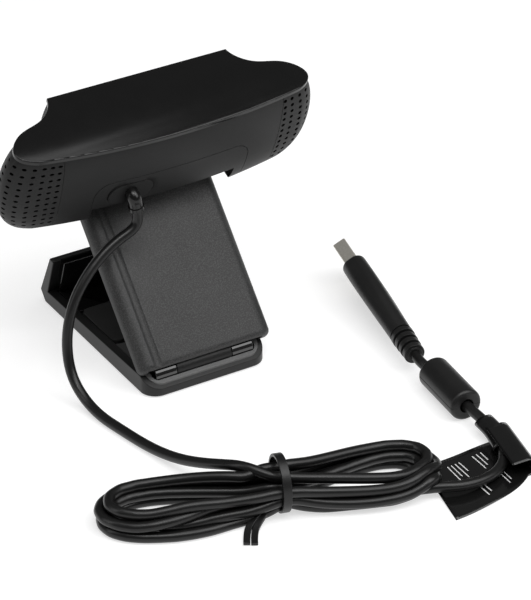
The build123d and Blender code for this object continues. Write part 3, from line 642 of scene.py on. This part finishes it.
def settleHank(before, line, after):
    everything = np.concatenate([before, line, after])
    free = np.zeros(len(everything), bool)
    free[len(before):len(before) + len(line)] = True
    rest = np.linalg.norm(np.diff(everything, axis=0), axis=1)
    order = np.arange(len(everything))
    apart = np.abs(order[:, None] - order[None]) > hank["nextInLine"]
    gap = cable["diameter"] * hank["clearance"]
    radius = cable["diameter"] / 2
    centre, along, across, halfWide, halfTall = hankFrame(hank["tieStation"])
    centre, along, across = np.array(centre), np.array(along), np.array(across)
    for settling in range(hank["rounds"]):
        moved = everything.copy()
        moved[1:-1] += hank["smoothing"] * ((everything[:-2] + everything[2:]) / 2 - everything[1:-1])
        moved[:, 2] -= hank["sinking"]
        rest += hank["relaxing"] * (np.linalg.norm(np.diff(everything, axis=0), axis=1) - rest)
        away = moved[:, None] - moved[None]
        far = np.sqrt((away ** 2).sum(axis=2)) + 1e-9
        push = np.where(apart & (far < gap), (gap - far) / far, 0)
        moved += hank["pushing"] * (away * push[:, :, None]).sum(axis=1)
        for start in (0, 1):
            first, second = moved[start:-1:2], moved[start + 1::2]
            count = min(len(first), len(second))
            first, second = first[:count], second[:count]
            link = second - first
            size = np.linalg.norm(link, axis=1)
            shift = (link * ((size - rest[start::2][:count]) / size / 2)[:, None])
            moved[start:start + 2 * count:2] += shift
            moved[start + 1:start + 1 + 2 * count:2] -= shift
        held = moved - centre
        near = np.abs(held @ along) < hank["tieReach"]
        u = (held @ across) / (halfWide - radius)
        v = held[:, 2] / (halfTall - radius)
        size = np.sqrt(u ** 2 + v ** 2)
        out = near & (size > 1)
        back = np.where(out, 1 / np.maximum(size, 1), 1)
        moved += ((u * (back - 1) * (halfWide - radius))[:, None] * across) * out[:, None]
        moved[:, 2] += np.where(out, v * (back - 1) * (halfTall - radius), 0)
        moved[:, 2] = np.maximum(moved[:, 2], radius + hank["floorGap"])
        everything[free] = moved[free]
    return everything[free]


def smoothLine(points):
    curve = bpy.data.curves.new("cableLine", "CURVE")
    curve.dimensions = "3D"
    curve.resolution_u = 4
    spline = curve.splines.new("NURBS")
    spline.points.add(len(points) - 1)
    for control, point in zip(spline.points, points):
        control.co = (*point, 1.0)
    spline.order_u = 3
    spline.use_endpoint_u = True
    holder = bpy.data.objects.new("cableLine", curve)
    bpy.context.scene.collection.objects.link(holder)
    mesh = evaluated(holder)
    line = [vertex.co.copy() for vertex in mesh.vertices]
    bpy.data.objects.remove(holder)
    return line


def tubeAlong(line, radius, sides, name):
    work = bmesh.new()
    ahead = (line[1] - line[0]).normalized()
    side = ahead.orthogonal().normalized()
    rings = []
    for index, point in enumerate(line):
        onward = line[min(index + 1, len(line) - 1)] - line[max(index - 1, 0)]
        onward.normalize()
        side = (side - onward * side.dot(onward)).normalized()
        other = onward.cross(side)
        ring = []
        for step in range(sides):
            angle = 2 * math.pi * step / sides
            spot = point + side * radius * math.cos(angle) + other * radius * math.sin(angle)
            ring.append(work.verts.new(spot))
        rings.append(ring)
    for first, second in zip(rings, rings[1:]):
        for step in range(sides):
            after = (step + 1) % sides
            work.faces.new((first[step], first[after], second[after], second[step]))
    work.faces.new(reversed(rings[0]))
    work.faces.new(rings[-1])
    mesh = bpy.data.meshes.new(name)
    work.to_mesh(mesh)
    work.free()
    shade(mesh, 60)
    return mesh


def cableRoute():
    start = headPlace @ Vector(cable["bootEnd"])
    elbow = headPlace @ Vector(cable["bootElbow"])
    heading = (start - elbow).normalized()
    lead = [start, start + heading * cable["firstRun"]] + [Vector(point) for point in cable["lead"]]
    tail = [Vector(point) for point in cable["tail"]]
    wound = settleHank(
        evenly(lead, hank["spacing"]), evenly(hankLine(), hank["spacing"]), evenly(tail, hank["spacing"]))
    return lead + [Vector(point) for point in wound] + tail


def buildCable():
    line = smoothLine(cableRoute())
    length = sum((second - first).length for first, second in zip(line, line[1:]))
    print("cable is", round(length, 3), "m long, in", len(line), "points")
    mesh = tubeAlong(line, cable["diameter"] / 2, cable["sides"], "cable")
    piece = place(
        "cable", mesh, None, paint["cableJacket"],
        ["cable_head_stretch", "cable_lead", "cable_hank", "cable_tail"])
    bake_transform(piece)
    return line


# twist tie round the hank's waist

tie = {
    "thick": 0.0010, "wide": 0.0027, "gap": 0.0002, "steps": 56, "endThick": 0.0009, "endWide": 0.0021,
    "ends": [
        [(0.0262, 0.1098, 0.0034), (0.0300, 0.1110, 0.0016), (0.0330, 0.1142, 0.0009),
         (0.0354, 0.1184, 0.0008)],
        [(0.0248, 0.1108, 0.0032), (0.0284, 0.1124, 0.0014), (0.0312, 0.1156, 0.0008),
         (0.0334, 0.1196, 0.0007)]],
}


def ribbonRing(outline, frameAlong, half, thick, name):
    work = bmesh.new()
    rings = []
    for point, outward in outline:
        ahead, behind = point + frameAlong * half, point - frameAlong * half
        corners = (ahead, ahead + outward * thick, behind + outward * thick, behind)
        rings.append([work.verts.new(corner) for corner in corners])
    for index, ring in enumerate(rings):
        after = rings[(index + 1) % len(rings)]
        for corner in range(4):
            nextCorner = (corner + 1) % 4
            work.faces.new((ring[corner], ring[nextCorner], after[nextCorner], after[corner]))
    bmesh.ops.recalc_face_normals(work, faces=work.faces)
    mesh = bpy.data.meshes.new(name)
    work.to_mesh(mesh)
    work.free()
    return mesh


def stripAlong(line, wide, thick, name):
    work = bmesh.new()
    rings = []
    for index, point in enumerate(line):
        onward = (line[min(index + 1, len(line) - 1)] - line[max(index - 1, 0)]).normalized()
        side = onward.cross(Vector((0, 0, 1))).normalized() * wide / 2
        up = side.cross(onward).normalized() * thick / 2
        corners = (side + up, side - up, -side - up, -side + up)
        rings.append([work.verts.new(point + corner) for corner in corners])
    for first, second in zip(rings, rings[1:]):
        for corner in range(4):
            after = (corner + 1) % 4
            work.faces.new((first[corner], first[after], second[after], second[corner]))
    work.faces.new(rings[0])
    work.faces.new(rings[-1])
    bmesh.ops.recalc_face_normals(work, faces=work.faces)
    mesh = bpy.data.meshes.new(name)
    work.to_mesh(mesh)
    work.free()
    return mesh


def buildTie():
    centre, along, across, halfWide, halfTall = hankFrame(hank["tieStation"])
    outline = []
    for step in range(tie["steps"]):
        angle = 2 * math.pi * step / tie["steps"]
        u, v = math.cos(angle), math.sin(angle)
        wide, tall = halfWide + tie["gap"], halfTall + tie["gap"]
        outward = (across * u / wide + Vector((0, 0, v / tall))).normalized()
        outline.append((centre + across * u * wide + Vector((0, 0, v * tall)), outward))
    loop = ribbonRing(outline, along, tie["wide"] / 2, tie["thick"], "tieLoop")
    meshes = [loop]
    for end in tie["ends"]:
        line = smoothLine([Vector(point) for point in end])
        meshes.append(stripAlong(line, tie["endWide"], tie["endThick"], "tieEnd"))
    mesh = joined(meshes)
    shade(mesh, 40)
    piece = place("twistTie", mesh, "arm", paint["tieVinyl"], ["cable_tie"])
    softenEdges(piece, 0.0002)
    return piece


# flag label folded round the cable

label = {
    "nearEdge": [(-0.0246, 0.1392), (-0.0465, 0.1384), (-0.0562, 0.1310)],
    "farEdge": [(-0.0300, 0.1120), (-0.0420, 0.1100), (-0.0606, 0.1096)],
    "low": 0.00012, "curl": 0.0029, "thick": 0.00012, "across": 30, "along": 14, "curlSteps": 12,
    "overSteps": 5, "over": 0.0052, "ripple": 0.0003, "inkLift": 0.00016,
    "sleeve": [(-0.0580, 0.1040, 0.0043), (-0.0583, 0.1085, 0.0037), (-0.0575, 0.1135, 0.0031),
               (-0.0560, 0.1185, 0.0028)],
    "sleeveWide": 0.0034, "sleeveTall": 0.00196, "sleeveSides": 24,
}
# Plain lines of print on the label, in blocks: where each starts, and how long its lines are.
marks = {
    "line": 0.012, "pitch": 0.05,
    "blocks": [
        (0.30, 0.14, (0.30, 0.24, 0.30, 0.20)), (0.62, 0.14, (0.30, 0.26, 0.18)),
        (0.40, 0.62, (0.24, 0.20)), (0.70, 0.60, (0.26, 0.22))],
}


def edgePoint(edge, share):
    first, middle, last = [Vector(point) for point in edge]
    return first * (1 - share) ** 2 + middle * 2 * share * (1 - share) + last * share ** 2


def labelPoint(s, t, lift=0.0):
    # s runs from the free edge to the fold, round the curl and over the cable, t from the far edge.
    flatShare = min(s, 1.0)
    flat = edgePoint(label["farEdge"], flatShare).lerp(edgePoint(label["nearEdge"], flatShare), t)
    ripple = label["ripple"] * (1 + math.sin(9 * s + 4 * t)) * (1 - flatShare)
    if s <= 1:
        return Vector((flat.x, flat.y, label["low"] + ripple + lift))
    angle = min(s - 1, 1.0) * math.pi
    far, near = Vector(label["farEdge"][2]), Vector(label["nearEdge"][2])
    out = Vector(((near - far).y, -(near - far).x)).normalized()
    if out.x > 0:
        out = -out
    radius = label["curl"]
    over = max(s - 2, 0.0) * label["over"]
    reach = out * ((radius - lift) * math.sin(angle) - over)
    high = label["low"] + radius - (radius - lift) * math.cos(angle) - 0.16 * over
    return Vector((flat.x + reach.x, flat.y + reach.y, high))


def labelSteps():
    yield from (index / label["across"] for index in range(label["across"] + 1))
    yield from (1 + (index + 1) / label["curlSteps"] for index in range(label["curlSteps"]))
    yield from (2 + (index + 1) / label["overSteps"] for index in range(label["overSteps"]))


def addSleeve(work):
    rings = []
    line = smoothLine([Vector(point) for point in label["sleeve"]])
    for index, point in enumerate(line):
        onward = (line[min(index + 1, len(line) - 1)] - line[max(index - 1, 0)]).normalized()
        side = onward.cross(Vector((0, 0, 1))).normalized()
        up = side.cross(onward)
        ring = []
        for step in range(label["sleeveSides"]):
            angle = 2 * math.pi * step / label["sleeveSides"]
            across, rise = math.cos(angle) * label["sleeveWide"], math.sin(angle) * label["sleeveTall"]
            ring.append(work.verts.new(point + side * across + up * rise))
        rings.append(ring)
    for first, second in zip(rings, rings[1:]):
        for step in range(len(first)):
            after = (step + 1) % len(first)
            work.faces.new((first[step], first[after], second[after], second[step]))


def inkQuad(work, corners):
    work.faces.new([work.verts.new(labelPoint(s, t, label["inkLift"])) for s, t in corners])


def inkBar(work, s, t, wide, tall):
    low, high = (s - wide / 2, t - tall / 2), (s + wide / 2, t + tall / 2)
    pieces = 8
    for step in range(pieces):
        first = low[1] + (high[1] - low[1]) * step / pieces
        second = low[1] + (high[1] - low[1]) * (step + 1) / pieces
        inkQuad(work, [(low[0], first), (high[0], first), (high[0], second), (low[0], second)])


def buildMarks():
    work = bmesh.new()
    for first, side, lengths in marks["blocks"]:
        for row, tall in enumerate(lengths):
            inkBar(work, first + row * marks["pitch"], side + tall / 2, marks["line"], tall)
    mesh = bpy.data.meshes.new("labelMarks")
    work.to_mesh(mesh)
    work.free()
    return place("labelMarks", mesh, "arm", paint["labelInk"])


def buildLabel():
    work = bmesh.new()
    rows = []
    shares = [step / label["along"] for step in range(label["along"] + 1)]
    for s in labelSteps():
        rows.append([work.verts.new(labelPoint(s, share)) for share in shares])
    for first, second in zip(rows, rows[1:]):
        for step in range(label["along"]):
            work.faces.new((first[step], first[step + 1], second[step + 1], second[step]))
    addSleeve(work)
    bmesh.ops.recalc_face_normals(work, faces=work.faces)
    mesh = bpy.data.meshes.new("label")
    work.to_mesh(mesh)
    work.free()
    shade(mesh, 60)
    piece = place("flagLabel", mesh, "arm", paint["labelFilm"], ["cable_label"])
    thickness = piece.modifiers.new("Solidify", "SOLIDIFY")
    thickness.thickness = label["thick"]
    thickness.offset = 0
    return piece


buildTie()
buildLabel()
buildMarks()
buildCable()
print("cable laid")


# floor, light and camera

studio = {
    "floorSize": 3.0, "floorRough": 0.6, "floorShine": 0.2, "sensor": 36, "near": 0.05,
    "floorGrey": 0.5, "floorGlow": 0.62, "worldGrey": 1.0, "worldStrength": 0.12,
    "camera": {"aim": (-0.0179, 0.0405, 0.0271), "turn": 31.05, "rise": 31.56, "away": 1.1, "lens": 211.2},
    "lights": [
        {"name": "overhead", "turn": 4, "rise": 72, "away": 1.0, "size": (1.0, 1.0), "watts": 7.0},
        {"name": "key", "turn": -38, "rise": 44, "away": 1.0, "size": (0.7, 0.7), "watts": 4.4},
        {"name": "glint", "turn": 30, "rise": 64, "away": 1.0, "size": (0.5, 0.05), "watts": 1.3},
        {"name": "leftStrip", "turn": 100, "rise": 30, "away": 1.0, "size": (0.3, 0.9), "watts": 1.6}],
}


def around(aim, turn, rise, away):
    turn, rise = math.radians(turn), math.radians(rise)
    direction = Vector((math.sin(turn) * math.cos(rise), math.cos(turn) * math.cos(rise), math.sin(rise)))
    spot = Vector(aim) + direction * away
    facing = direction.to_track_quat("Z", "Y")
    return Matrix.Translation(spot) @ facing.to_matrix().to_4x4()


def buildStudio():
    scene = bpy.context.scene
    size = studio["floorSize"]
    mesh = bpy.data.meshes.new("floor")
    corners = [(-size, -size, 0), (size, -size, 0), (size, size, 0), (-size, size, 0)]
    mesh.from_pydata(corners, [], [(0, 1, 2, 3)])
    floor = bpy.data.objects.new("floor", mesh)
    scene.collection.objects.link(floor)
    material = bpy.data.materials.new("paleFloor")
    material.use_nodes = True
    shader = material.node_tree.nodes["Principled BSDF"]
    shader.inputs["Base Color"].default_value = [studio["floorGrey"]] * 3 + [1]
    shader.inputs["Roughness"].default_value = studio["floorRough"]
    shader.inputs["Specular IOR Level"].default_value = studio["floorShine"]
    shader.inputs["Emission Color"].default_value = (1, 1, 1, 1)
    shader.inputs["Emission Strength"].default_value = studio["floorGlow"]
    mesh.materials.append(material)
    world = bpy.data.worlds.new("studio")
    world.use_nodes = True
    backdrop = world.node_tree.nodes["Background"]
    backdrop.inputs["Color"].default_value = [studio["worldGrey"]] * 3 + [1]
    backdrop.inputs["Strength"].default_value = studio["worldStrength"]
    scene.world = world
    camera = studio["camera"]
    for spec in studio["lights"]:
        light = bpy.data.lights.new(spec["name"], "AREA")
        light.shape = "RECTANGLE"
        light.size, light.size_y = spec["size"]
        light.energy = spec["watts"]
        holder = bpy.data.objects.new(spec["name"], light)
        holder.matrix_world = around(camera["aim"], spec["turn"], spec["rise"], spec["away"])
        scene.collection.objects.link(holder)
    lens = bpy.data.cameras.new("camera")
    lens.lens = camera["lens"]
    lens.sensor_width = studio["sensor"]
    lens.clip_start = studio["near"]
    eye = bpy.data.objects.new("camera", lens)
    eye.matrix_world = around(camera["aim"], camera["turn"], camera["rise"], camera["away"])
    scene.collection.objects.link(eye)
    scene.camera = eye
    scene.view_settings.view_transform = "Standard"


buildStudio()
print("studio ready")
